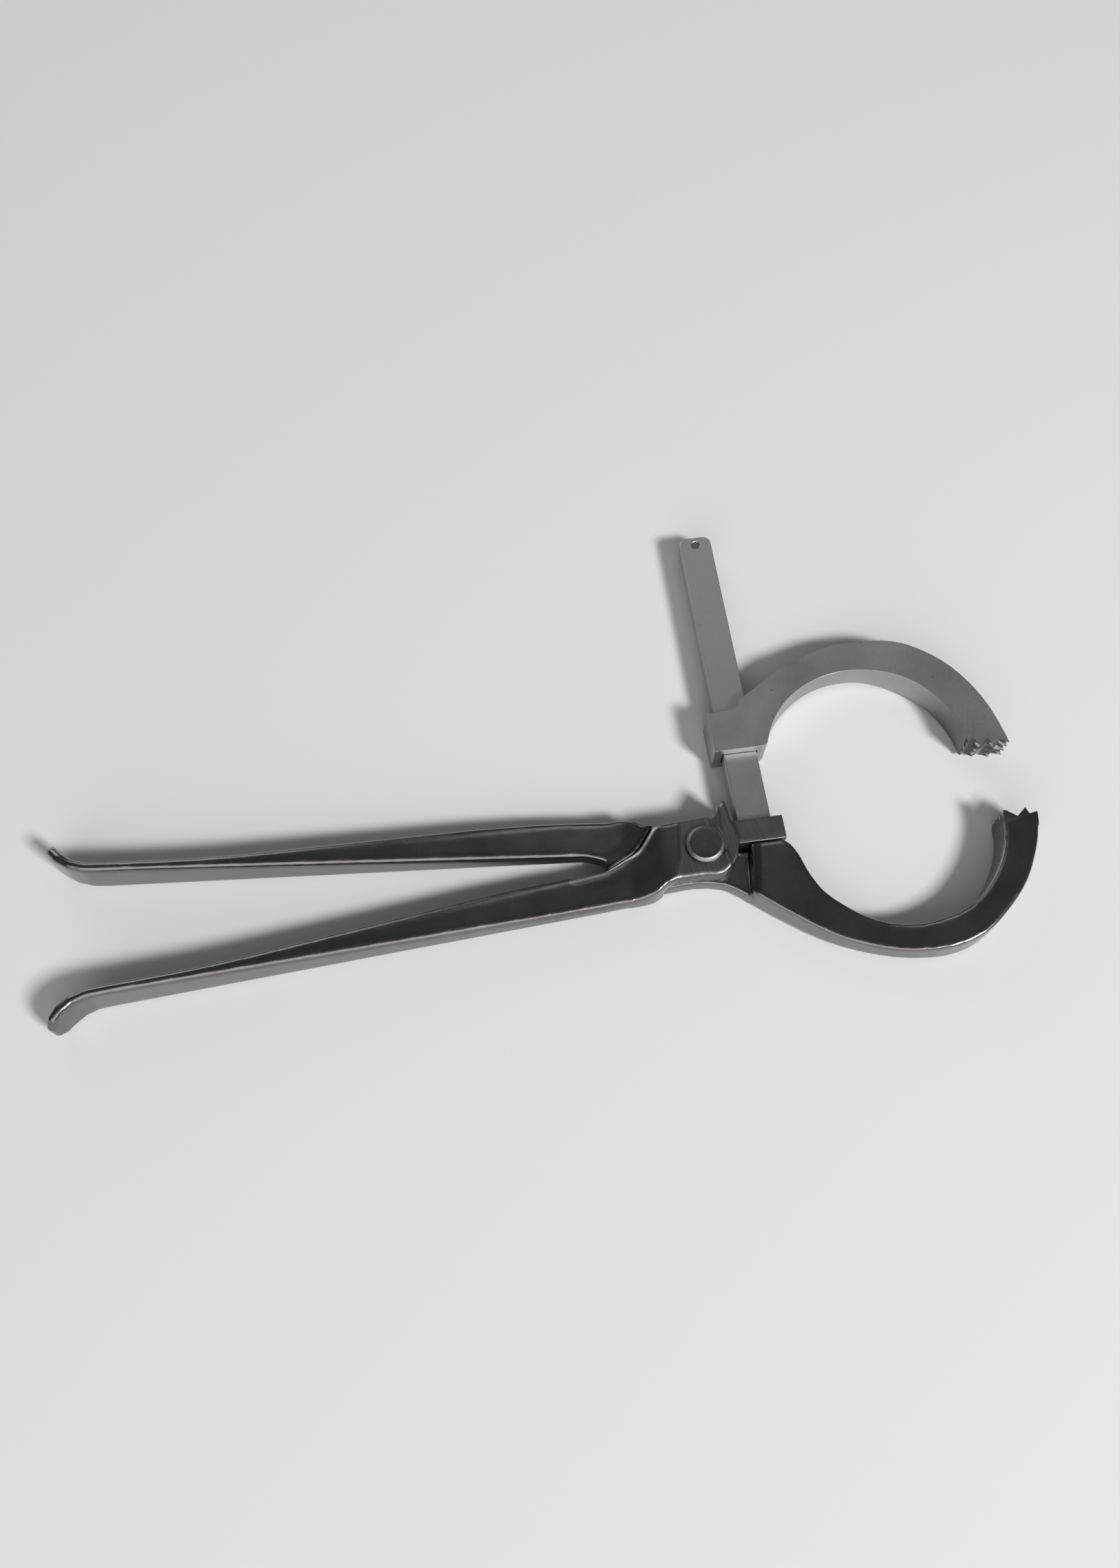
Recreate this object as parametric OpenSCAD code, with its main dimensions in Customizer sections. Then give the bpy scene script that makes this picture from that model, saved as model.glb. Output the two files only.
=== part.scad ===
// Adjustable hoof tester, lying flat with its levers closed.
// X runs from the handles to the jaws, Y across them, Z up from the table.
// The origin is on the pivot's axis, at the height of the table.

/* [Pivot] */
// Radius of the rivet's shank
shank_r = 5; // [4:0.5:6]
// Radius of the rivet's head
head_r = 7.25; // [6.5:0.25:8]
// Height of the rivet's head over the lever
head_h = 2.4; // [1.6:0.2:3]
// Width of the bevel round the rivet's head
head_bevel = 1.1; // [0.6:0.1:1.4]
// Thickness of both lapped levers together
lap_t = 14.8; // [13:0.2:15.2]
// Radius of the round nose of the upper lap
nose_r = 12.9; // [12.5:0.1:13.4]

/* [Handles] */
// Length of the jaw lever's handle from the pivot, along its centre
jaw_handle_len = 247; // [220:1:280]
// Length of the bar lever's handle from the pivot, along its centre
bar_handle_len = 246; // [220:1:280]
// Width of a handle near the pivot, seen from above
root_w = 14.4; // [13:0.2:16]
// Width of a handle at the grip, seen from above
grip_w = 4; // [3.4:0.2:6]
// Height of a handle near the pivot
root_t = 8.2; // [7:0.2:10]
// Height of a handle at the grip
grip_t = 18.6; // [15:0.2:21]
// Radius of the outward curl at a handle's tip
curl_r = 19; // [16:1:26]
// Turn of the curl at a handle's tip, in degrees
curl_turn = 62; // [30:2:70]
// Slope of the jaw lever's handle, in degrees
jaw_handle_slope = 4.4; // [3:0.2:6]
// Slope of the bar lever's handle, in degrees
bar_handle_slope = 12.6; // [11:0.2:15]

/* [Fixed jaw] */
// Radius of the fixed jaw's inner curve
fixed_in_r = 39.6; // [38:0.2:40]
// Width of the fixed jaw at the middle of its curve
fixed_w = 10.4; // [9:0.2:12]
// Thickness of the fixed jaw at its root
fixed_root_t = 13.2; // [12:0.2:14]
// Thickness of the fixed jaw at the middle of its curve
fixed_mid_t = 10.4; // [9:0.2:12]
// Thickness of the fixed jaw at its teeth
fixed_tip_t = 15.5; // [14:0.1:15.5]

/* [Sliding jaw] */
// Radius of the sliding jaw's inner curve
slide_in_r = 39.5; // [38:0.1:40]
// Width of the sliding jaw along its curve
slide_w = 14.9; // [13:0.1:16]
// Thickness of the sliding jaw at the middle of its curve
slide_mid_t = 11; // [9:0.2:13]
// Thickness of the sliding jaw at its teeth
slide_tip_t = 13.6; // [12:0.1:15]
// Height of the collar that rides on the bar
collar_t = 15.5; // [15:0.1:16]
// Length of the collar along the bar
collar_len = 16.4; // [14:0.2:18]
// Wall of the collar on the outer side of the bar
collar_wall_out = 3.3; // [2.6:0.1:4]
// Wall of the collar on the jaw's side of the bar
collar_wall_in = 1.8; // [1.6:0.1:3]

/* [Teeth] */
// Space between the tips of the two jaws' longest teeth
mouth_gap = 26.2; // [24:0.2:32]
// Depth of the notches filed down through the fixed jaw's end
fixed_tooth_depth = 3.8; // [2:0.1:4]
// Depth of the notches filed down through the sliding jaw's end
slide_tooth_depth = 2.8; // [1.6:0.1:3.4]
// Depth of the notches filed across a jaw's end
row_depth = 1.9; // [1:0.1:2.2]
// Rows of teeth through the fixed jaw's thickness
fixed_tooth_rows = 5; // [3:1:6]
// Rows of teeth through the sliding jaw's thickness
slide_tooth_rows = 4; // [3:1:6]

/* [Bar] */
// Width of the bar
bar_w = 13; // [12:0.1:13.4]
// Thickness of the bar
bar_t = 7.2; // [6:0.1:7.6]
// Length of the bar that stands out of its block
bar_out = 127.8; // [115:0.5:150]
// Lean of the bar from the Y axis, in degrees
bar_lean = 9.7; // [9:0.1:10.4]
// Radius of the bar's end corners
bar_corner_r = 3.1; // [2:0.1:5]
// Room between the bar and the collar on each wide side
bar_room_t = 0.5; // [0.3:0.1:0.7]
// Room between the bar and the collar on each narrow side
bar_room_w = 0.45; // [0.3:0.05:0.6]
// Width of the stop under the bar's end
stop_w = 6; // [4:0.2:8]
// Length of the stop under the bar's end
stop_len = 8.4; // [7:0.2:12]
// Thickness of the stop under the bar's end
stop_t = 2.5; // [2:0.1:3]
// Radius of the pin that holds the stop
stop_pin_r = 1.7; // [1.2:0.1:1.9]

/* [Hidden] */

$fn = 96;
EPS = 0.01;
FAR = 400;                               // past every piece
SKY = 60;                                // over every piece

// Clearances between the pieces
FACE_GAP = 0.1;                          // between the lapped faces, and under the head
RUN_GAP = 0.06;                          // round the rivet's shank in the moving lever
EDGE_GAP = 0.35;                         // between the shoulders, and at the closing stop
TURN_GAP = 0.5;                          // round a boss that turns past the other lever

// Heights over the table
MID_Z = collar_t / 2;
LAP_LOW = MID_Z - lap_t / 2;
LAP_TOP = MID_Z + lap_t / 2;
HEAD_Z = LAP_TOP + FACE_GAP;

// A step from 0 to 1 with soft ends, and a value part way between two others
function soft(t) = let(c = min(1, max(0, t))) c * c * (3 - 2 * c);
function mix(a, b, t) = a + (b - a) * t;
function ramp(x, a, b) = min(1, max(0, (x - a) / (b - a)));

// A smooth open curve through a few points
function bend(a, b, c, d, t) =
    0.5 * (2 * b + (c - a) * t + (2 * a - 5 * b + 4 * c - d) * t * t
           + (3 * b - a - 3 * c + d) * t * t * t);
function through(p, n = 5) =
    let(last = len(p) - 1)
    concat([for (i = [0 : last - 1], k = [0 : n - 1])
                bend(p[max(0, i - 1)], p[i], p[i + 1], p[min(last, i + 2)], k / n)],
           [p[last]]);
function moved(p, by) = [for (q = p) q + by];
function back_to_front(p) = [for (i = [len(p) - 1 : -1 : 0]) p[i]];

// Handles: wide and low by the pivot, narrow and tall at the grip. Both levers
// swell in height where their handle runs into the lapped boss.
TAPER_NEAR = 46;
TAPER_FAR = 212;
SWELL_FROM = 14;                         // the lap's thickness runs out between these
SWELL_TO = 31;
SWELL_STEPS = 8;
ROOT_RING = 6;                           // the step of the swell where a handle's section starts
ROOT_NARROWING = 1.2;                    // how much narrower it is there
HANDLE_STEPS = 27;                       // from the swell's end to the tip
STEP_CROWDING = 1.3;                     // rings lie closer together at the curled tip
EDGE_R = 2.1;                            // rounding of a handle's edges
EDGE_STEPS = 3;
TIP_ROUND = 8;                           // length of the rounded end of a handle
TIP_T_LEFT = 0.45;                       // share of the height left at the very tip
TIP_W_LEFT = 0.7;                        // share of the width left at the very tip
JAW_HANDLE_BACK = -1.6;                  // straight edge of the jaw lever's handle
BAR_HANDLE_BACK = -16.3;                 // straight edge of the bar lever's handle

function lap_swell(s) = (lap_t - root_t) * (1 - soft(ramp(s, SWELL_FROM, SWELL_TO)));
function tip_round(s, long) = sqrt(1 - pow(ramp(s, long - TIP_ROUND, long), 2));
function handle_full_w(s) = mix(root_w, grip_w, soft(ramp(s, TAPER_NEAR, TAPER_FAR)));
function handle_w(s, long) =
    (handle_full_w(s) - ROOT_NARROWING * (1 - ramp(s, SWELL[ROOT_RING], TAPER_NEAR)))
    * mix(TIP_W_LEFT, 1, tip_round(s, long));
function handle_t(s, long) =
    mix(root_t, grip_t, ramp(s, TAPER_NEAR, TAPER_FAR))
    * mix(TIP_T_LEFT, 1, tip_round(s, long)) + lap_swell(s);
function handle_mid(s) = mix(MID_Z, grip_t / 2, ramp(s, TAPER_NEAR, TAPER_FAR));
SWELL = [for (i = [0 : SWELL_STEPS]) mix(SWELL_FROM, SWELL_TO, i / SWELL_STEPS)];
function rings(long) =
    concat([for (i = [ROOT_RING : SWELL_STEPS]) SWELL[i]],
           [for (i = [1 : HANDLE_STEPS])
               mix(long, SWELL_TO, pow(1 - i / HANDLE_STEPS, STEP_CROWDING))]);

// A point of a handle: s along it, a across it and z up. back is how far its
// straight edge lies from the pivot, and side is the way that its tip curls.
function handle_point(s, a, z, long, slope, back, side) =
    let(bend_at = long - curl_r * curl_turn * PI / 180,
        turn = max(0, s - bend_at) / curl_r * 180 / PI,
        u = min(s, bend_at) + curl_r * sin(turn) - side * a * sin(turn),
        v = back + handle_full_w(min(s, bend_at)) / 2
            + side * curl_r * (1 - cos(turn)) + a * cos(turn))
    [-u * cos(slope) - v * sin(slope), -u * sin(slope) + v * cos(slope), z];

// Section of a handle: a rectangle with round edges
function section(w, t) =
    let(r = min(EDGE_R, w * 0.46))
    [for (q = [0 : 3], k = [0 : EDGE_STEPS])
        let(ang = 90 * (q + k / EDGE_STEPS),
            sx = (q == 0 || q == 3) ? 1 : -1,
            sz = (q < 2) ? 1 : -1)
        [sx * (w / 2 - r) + r * cos(ang), sz * (t / 2 - r) + r * sin(ang)]];

module handle(long, slope, back, side) {
    n = 4 * (EDGE_STEPS + 1);
    at = rings(long);
    last = len(at) - 1;
    pts = [for (s = at, p = section(handle_w(s, long), handle_t(s, long)))
               handle_point(s, p[0], handle_mid(s) + p[1], long, slope, back, side)];
    walls = [for (i = [0 : last - 1], j = [0 : n - 1])
                 let(a = i * n + j, b = i * n + (j + 1) % n)
                 for (f = [[a, b, a + n], [b, b + n, a + n]]) f];
    root = [[for (j = [n - 1 : -1 : 0]) j]];
    tip = [[for (j = [0 : n - 1]) last * n + j]];
    polyhedron(pts, concat(walls, root, tip), convexity = 6);
}

// Side view of the lapped boss, square to its handle: thick at the pivot, and
// as thin as the handle where that starts
module lap_side_view(slope) {
    t = [for (s = SWELL) (root_t + lap_swell(s)) / 2];
    far = [for (i = [SWELL_STEPS : -1 : 0]) i];
    rotate(slope) translate([0, FAR / 2, 0]) rotate([90, 0, 0]) linear_extrude(FAR)
        polygon(concat([[-SKY, MID_Z - root_t / 2]], [for (i = far) [-SWELL[i], MID_Z - t[i]]],
                       [[SKY, LAP_LOW], [SKY, LAP_TOP]],
                       [for (i = [0 : SWELL_STEPS]) [-SWELL[i], MID_Z + t[i]]],
                       [[-SKY, MID_Z + root_t / 2]]));
}

// Shoulders seen from above, where one lever's thick part meets the other's lap
UPPER_SHOULDER = [[-15.5, 13], [-19.5, 7], [-24.8, -1.8], [-31, -7], [-37.5, -11.4], [-48, -15]];
UPPER_LINE = through(UPPER_SHOULDER);     // the upper shoulder's whole curve
LOWER_SHOULDER = [[-48, -10.2], [-38, -12.4], [-27, -14.2], [-20.5, -16.2], [-16.6, -16.6],
                  [-14, -15.2]];

// The bar's own frame: X across the bar and Y along it, turned about the pivot
module bar_frame() { rotate(bar_lean) children(); }
BAR_MID = 20.95;                         // the bar's centre line
BLOCK_LEFT = 11.6;
BLOCK_RIGHT = 31.1;
BLOCK_TOP = 8.4;
BLOCK_FOOT = -0.8;
SOCKET_FOOT = 1.4;                       // how near the bar comes to the block's foot
BLOCK_T = fixed_root_t;
JAW_HEAD_TOP = BLOCK_FOOT - EDGE_GAP;    // top of the fixed jaw's root
bar_end = BLOCK_TOP + bar_out;

// Round rivet with a bevelled head and a tail set flush in the lower lever
TAIL_R = 6.9;
TAIL_H = 1.6;
TAIL_EDGE = 0.3;
module pivot_rivet() {
    color("gainsboro") rotate_extrude() polygon([
        [0, 0], [TAIL_R - TAIL_EDGE, 0], [TAIL_R, LAP_LOW], [shank_r, LAP_LOW + TAIL_H],
        [shank_r, HEAD_Z], [head_r, HEAD_Z], [head_r, HEAD_Z + head_h - head_bevel],
        [head_r - head_bevel, HEAD_Z + head_h], [0, HEAD_Z + head_h]]);
}
module rivet_seat() {
    translate([0, 0, LAP_LOW]) cylinder(r = shank_r, h = SKY);
    rotate_extrude() polygon([
        [0, -1], [TAIL_R, -1], [TAIL_R, LAP_LOW], [shank_r, LAP_LOW + TAIL_H],
        [0, LAP_LOW + TAIL_H]]);
}

// Pyramid teeth, filed both ways into the end of a jaw. The longest tip lies on
// Y = 0 with the jaw on the -Y side, and the jaw is t thick about Z = 0. A tip or
// valley is an X place and its share of the depth of the notches.
module tooth_notches(tips, valleys, depth, rows, t) {
    row = t / (rows - 0.5);
    last = len(valleys) - 1;
    profile = concat([for (i = [0 : last], q = [tips[i], valleys[i]]) q], [tips[last + 1]]);
    ends = concat([tips[0][0] - SKY], [for (v = valleys) v[0]], [tips[last + 1][0] + SKY]);
    translate([0, 0, -t]) linear_extrude(2 * t)
        polygon(concat([[ends[0], -tips[0][1] * depth]],
                       [for (q = profile) [q[0], -q[1] * depth]],
                       [[ends[last + 2], -tips[last + 1][1] * depth],
                        [ends[last + 2], SKY], [ends[0], SKY]]));
    for (i = [0 : last + 1])
        translate([ends[i], -tips[i][1] * depth, t / 2]) rotate([90, 0, 90])
            linear_extrude(ends[i + 1] - ends[i])
                polygon(concat([[0, row]],
                               [for (k = [0 : rows - 1], q = [[0, 0], [row_depth, 0.5]])
                                   [-q[0], -row * (k + q[1])]],
                               [[SKY, -row * rows], [SKY, row]]));
}

// Thickness of a jaw from its root to its teeth, swept across the jaw. at holds
// the four X places between which the thickness changes.
module jaw_side_view(at, root, mid, tip) {
    n = 7;
    function t_at(x) = (x < at[1]) ? mix(root, mid, soft(ramp(x, at[0], at[1])))
                                   : mix(mid, tip, soft(ramp(x, at[2], at[3])));
    xs = concat([at[0] - SKY], [for (i = [0 : n]) mix(at[0], at[1], i / n)],
                [for (i = [0 : n]) mix(at[2], at[3], i / n)], [at[3] + SKY]);
    translate([0, FAR / 2, 0]) rotate([90, 0, 0]) linear_extrude(FAR)
        polygon(concat([for (x = xs) [x, MID_Z - t_at(x) / 2]],
                       back_to_front([for (x = xs) [x, MID_Z + t_at(x) / 2]])));
}
function round_point(mid, r, ang) = [mid[0] + r * cos(ang), mid[1] + r * sin(ang)];

// Fixed jaw, seen from above. The forging isn't a true circle, so each point
// is an angle and how far the edge lies outside the circle there.
FIXED_MID = [72.3, 12.5];
FIXED_IN = [[202, -0.1], [215, 0.1], [230, 0.1], [255, 0.2], [278, 0.7], [300, 1.3], [315, 1.3],
            [330, 0.8], [345, 0.7], [360, 0.9], [374, 1.5]];
FIXED_OUT = [[209, 12.1], [220, 6.6], [240, 1.9], [257, 0.2], [273, 0.3], [290, 1.7], [305, 2.4],
             [321, 1.6], [335, 2], [348, 2.4], [356, 3.1], [364, 3.5], [374, 3.8]];
FIXED_TIP_Y = 19.2;                      // the fixed jaw's longest tooth
FIXED_TIPS = [[113.8, 0.42], [121.1, 0], [125.4, 0.39]];
FIXED_VALLEYS = [[118, 1], [122.5, 0.67]];
function curve(mid, r, table) = through([for (q = table) round_point(mid, r + q[1], q[0])], 3);

module fixed_jaw_plan() {
    difference() {
        polygon(concat(
            curve(FIXED_MID, fixed_in_r + fixed_w, FIXED_OUT),
            back_to_front(curve(FIXED_MID, fixed_in_r, FIXED_IN)),
            [[33.2, 1.2], [31.8, 2.6], [29.9, 3.6], [27.8, 4], [17.2, 4]]));
        translate([FIXED_MID[0], FIXED_TIP_Y]) square([SKY * 2, SKY]);
        bar_frame() translate([0, JAW_HEAD_TOP]) square([SKY, SKY]);
    }
}

module fixed_jaw() {
    difference() {
        intersection() {
            linear_extrude(SKY) fixed_jaw_plan();
            jaw_side_view([24, 58, 68, 112], fixed_root_t, fixed_mid_t, fixed_tip_t);
        }
        translate([0, FIXED_TIP_Y, MID_Z])
            tooth_notches(FIXED_TIPS, FIXED_VALLEYS, fixed_tooth_depth, fixed_tooth_rows, fixed_tip_t);
    }
}

// The lower lap of the jaw lever: its boss and neck, under the bar lever's boss
LOWER_LAP_R = 12.1;
module lower_lap_plan() {
    circle(r = LOWER_LAP_R);
    polygon(concat(
        [[-42, 6.9]],
        through([[-33, 10], [-27.5, 10.3], [-25.5, 9.6], [-23, 8.4], [-19.5, 8.2], [-13, 9.4], [-4, 11.3]], 3),
        [[12, 0.6], [21, 0.6], [21, -18.5]],
        through([[18.2, -17.5], [12, -14.4], [7.7, -12.9], [1, -12.5], [-6, -13.3], [-14, -15.2]], 4),
        [[-20.5, -15.4], [-27, -13.4], [-37, -11.2], [-36, -4.6], [-34.5, -2], [-42, -2.2]]));
}

module jaw_lever() {
    color([0.23, 0.22, 0.22]) difference() {
        union() {
            difference() {
                union() {
                    handle(jaw_handle_len, jaw_handle_slope, JAW_HANDLE_BACK, 1);
                    intersection() {
                        linear_extrude(SKY) lower_lap_plan();
                        lap_side_view(jaw_handle_slope);
                    }
                }
                // room for the bar lever's boss, which turns here
                translate([0, 0, MID_Z - FACE_GAP / 2]) linear_extrude(SKY)
                    polygon(concat(moved(UPPER_LINE, [-EDGE_GAP, EDGE_GAP / 2]),
                                   [[-40, -SKY], [SKY, -SKY], [SKY, SKY], [-10, SKY]]));
            }
            fixed_jaw();
        }
        // room for the bar lever's lower shoulder
        translate([0, 0, MID_Z - FAR]) linear_extrude(FAR)
            polygon(concat(through(LOWER_SHOULDER), [[-8, -SKY], [-SKY, -SKY]]));
        // room for the block, which rests over the fixed jaw's root
        bar_frame() translate([8, JAW_HEAD_TOP, -EPS]) cube([SKY, SKY / 2, SKY]);
        rivet_seat();
    }
}

// Upper lap of the bar lever, seen from above, with its ear by the bar
module upper_lap_plan() {
    intersection() {
        circle(r = nose_r);
        polygon([[-20, -13], [0, -11.9], [7, -11.4], [20, -8], [20, 16], [8, 13.2], [0.8, 11.4], [-20, 6.9]]);
    }
    polygon(concat(
        [for (i = [5 : 20]) UPPER_LINE[i]],
        [[-44, -14.2], [-42, -23.8], [-26, -22.1]],
        through([[-22.6, -21.2], [-19, -19.8], [-16.5, -18.2], [-13.6, -15.6], [-9.6, -13.7], [0, -11.9]], 4),
        [[8, -8], [8, 10], [0.8, 11.4], [-9.3, 9.3]]));
    ear_plan();
}
EAR_R = 1.3;
module ear_plan() {
    polygon([[2.6, 10], [3.3, 13.6], [5.8, 18], [8, 17.5], [9.6, 12], [12.4, 4]]);
    translate([6.9, 17.2]) circle(r = EAR_R);
}

module bar_lever() {
    color([0.25, 0.24, 0.24]) difference() {
        union() {
            handle(bar_handle_len, bar_handle_slope, BAR_HANDLE_BACK, -1);
            intersection() {
                linear_extrude(SKY) upper_lap_plan();
                lap_side_view(bar_handle_slope);
            }
            bar_frame() translate([BLOCK_LEFT, BLOCK_FOOT, MID_Z - BLOCK_T / 2])
                cube([BLOCK_RIGHT - BLOCK_LEFT, BLOCK_TOP - BLOCK_FOOT, BLOCK_T]);
        }
        // room for the jaw lever's boss, which lies below
        translate([0, 0, MID_Z + FACE_GAP / 2 - FAR]) linear_extrude(FAR) union() {
            circle(r = max(LOWER_LAP_R + TURN_GAP, nose_r + RUN_GAP));
            polygon(concat(moved(through(LOWER_SHOULDER), [-EDGE_GAP / 2, -EDGE_GAP]),
                           [[-9, -30], [10, -30], [10, 14], [-50, 14]]));
        }
        // the handle's upper edge ends at the shoulder
        translate([0, 0, MID_Z]) linear_extrude(SKY)
            polygon(concat(UPPER_LINE, [[-48, SKY], [-15.5, SKY]]));
        translate([0, 0, -SKY]) cylinder(r = shank_r + RUN_GAP, h = FAR);
        bar_frame() translate([BAR_MID - bar_w / 2, SOCKET_FOOT, MID_Z - bar_t / 2])
            cube([bar_w, BLOCK_TOP, bar_t]);
    }
}

// Flat bar with round corners at its free end
PIN_INSET = 3.7;                         // the pin's centre, from the bar's end
PIN_SUNK = 0.3;
module slide_bar() {
    color("darkgray") bar_frame() difference() {
        translate([BAR_MID, 0, MID_Z - bar_t / 2]) linear_extrude(bar_t) union() {
            translate([-bar_w / 2, SOCKET_FOOT]) square([bar_w, bar_end - bar_corner_r - SOCKET_FOOT]);
            translate([bar_corner_r - bar_w / 2, bar_end - 2 * bar_corner_r])
                square([bar_w - 2 * bar_corner_r, 2 * bar_corner_r]);
            for (side = [-1, 1])
                translate([side * (bar_w / 2 - bar_corner_r), bar_end - bar_corner_r])
                    circle(r = bar_corner_r);
        }
        stop_pin_hole();
    }
}
module stop_pin_hole() {
    translate([BAR_MID, bar_end - PIN_INSET, -1]) cylinder(r = stop_pin_r, h = SKY);
}

// Small stop under the bar's end, and the pin that holds it
STOP_PROUD = 0.5;                        // the stop's end shows past the bar's end
module bar_end_stop() {
    color("gray") bar_frame() difference() {
        translate([BAR_MID - stop_w / 2, bar_end + STOP_PROUD - stop_len, MID_Z - bar_t / 2 - stop_t])
            cube([stop_w, stop_len, stop_t]);
        stop_pin_hole();
    }
}
module stop_pin() {
    color("silver") bar_frame() translate([BAR_MID, bar_end - PIN_INSET, MID_Z - bar_t / 2 - stop_t])
        cylinder(r = stop_pin_r, h = bar_t + stop_t - PIN_SUNK);
}

// Sliding jaw, seen from above, with the collar that rides on the bar
SLIDE_MID = [63.8, 37.5];
COLLAR_FOOT = 37;                        // the collar's near face, in the bar's frame
COLLAR_FILLET = 5;
collar_left = BAR_MID - bar_w / 2 - bar_room_w - collar_wall_out;
collar_right = BAR_MID + bar_w / 2 + bar_room_w + collar_wall_in;
collar_back = COLLAR_FOOT + collar_len;
slide_tip_y = FIXED_TIP_Y + mouth_gap;
SLIDE_OUT = [[-12, 2], [2, 1.6], [9, 1], [26, -0.4], [41, -0.5], [55, -0.3], [69, -0.4], [81, -1],
             [96, -2.5], [110, -3.5], [127, -3.9]];
SLIDE_TIPS = [[101.8, 0.08], [106.9, 0], [113.2, 0.05], [118.5, 0.4]];
SLIDE_VALLEYS = [[104.4, 1], [109.7, 1], [114.9, 1]];

module sliding_jaw_plan() {
    difference() {
        union() {
            polygon(concat(curve(SLIDE_MID, slide_in_r + slide_w, SLIDE_OUT), [SLIDE_MID]));
            bar_frame() {
                translate([collar_left, COLLAR_FOOT])
                    square([collar_right - collar_left, collar_len]);
                difference() {
                    polygon([[collar_left + 5, COLLAR_FOOT], [collar_right, COLLAR_FOOT],
                             [60, COLLAR_FOOT + 20], [52, 73.6], [46.3, 71.6], [31.4, 62.1],
                             [24.3, collar_back + 4.4], [18, collar_back]]);
                    translate([19.2, collar_back + COLLAR_FILLET]) circle(r = COLLAR_FILLET);
                }
            }
        }
        translate(SLIDE_MID) circle(r = slide_in_r);
        translate([SLIDE_MID[0], slide_tip_y - SKY * 2]) square([SKY * 2, SKY * 2]);
    }
}

module sliding_jaw() {
    color("darkgray") difference() {
        intersection() {
            linear_extrude(SKY) sliding_jaw_plan();
            jaw_side_view([20, 48, 60, 84], collar_t, slide_mid_t, slide_tip_t);
        }
        translate([0, slide_tip_y, MID_Z]) mirror([0, 1, 0])
            tooth_notches(SLIDE_TIPS, SLIDE_VALLEYS, slide_tooth_depth, slide_tooth_rows, slide_tip_t);
        bar_frame() translate([BAR_MID - bar_w / 2 - bar_room_w, COLLAR_FOOT - 10,
                               MID_Z - bar_t / 2 - bar_room_t])
            cube([bar_w + 2 * bar_room_w, collar_len + 20, bar_t + 2 * bar_room_t]);
    }
}

jaw_lever();
bar_lever();
pivot_rivet();
slide_bar();
sliding_jaw();
bar_end_stop();
stop_pin();
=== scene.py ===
"""A hoof tester: two forged levers on one rivet, with a jaw that slides on a flat bar."""

import logging
import math
from dataclasses import dataclass, field, replace
from enum import Enum

import bmesh
import bpy
import numpy as np
from mathutils import Matrix, Vector, noise


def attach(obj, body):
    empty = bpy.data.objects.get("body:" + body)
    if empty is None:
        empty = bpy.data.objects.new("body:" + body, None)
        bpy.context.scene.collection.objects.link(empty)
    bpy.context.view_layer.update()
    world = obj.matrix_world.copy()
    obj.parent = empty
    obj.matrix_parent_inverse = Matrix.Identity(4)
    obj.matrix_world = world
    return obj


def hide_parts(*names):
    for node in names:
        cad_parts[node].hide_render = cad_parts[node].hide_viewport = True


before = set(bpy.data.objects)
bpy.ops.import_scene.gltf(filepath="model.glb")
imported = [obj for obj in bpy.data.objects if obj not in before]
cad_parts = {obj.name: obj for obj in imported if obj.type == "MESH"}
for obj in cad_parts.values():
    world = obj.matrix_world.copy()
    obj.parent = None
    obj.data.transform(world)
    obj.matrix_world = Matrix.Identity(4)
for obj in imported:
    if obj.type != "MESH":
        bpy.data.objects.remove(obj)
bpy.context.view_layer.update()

LOG = logging.getLogger("hoof_tester")
MM = 0.001
SAME_POINT = 0.002 * MM
SAME_PLANE = math.radians(1.0)
ON_CUT = 0.001 * MM
FAR_AWAY = 1e9
SKIN_SEGMENTS = 2
EDGE_SEGMENTS = 3
SOFTENING = 0.5


class Body(Enum):
    """The bodies that the joints move."""

    JAW_LEVER = "jaw_lever"
    BAR_LEVER = "bar_lever"
    SLIDING_JAW = "sliding_jaw"


class Slot(Enum):
    """The record's material slots."""

    FORGED = "forged_steel"
    GROUND = "ground_steel"
    RIVET = "rivet_steel"


class Grain(Enum):
    """How a steel surface was worked."""

    FORGED = "forged"
    BRUSHED = "brushed"
    PEENED = "peened"


@dataclass(frozen=True)
class Ramp:
    """Maps the values from low to high onto start to end, and clamps them."""

    low: float
    high: float
    start: float = 0.0
    end: float = 1.0


@dataclass(frozen=True)
class Speckle:
    """One noise texture's settings."""

    scale: float
    detail: float
    roughness: float


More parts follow.
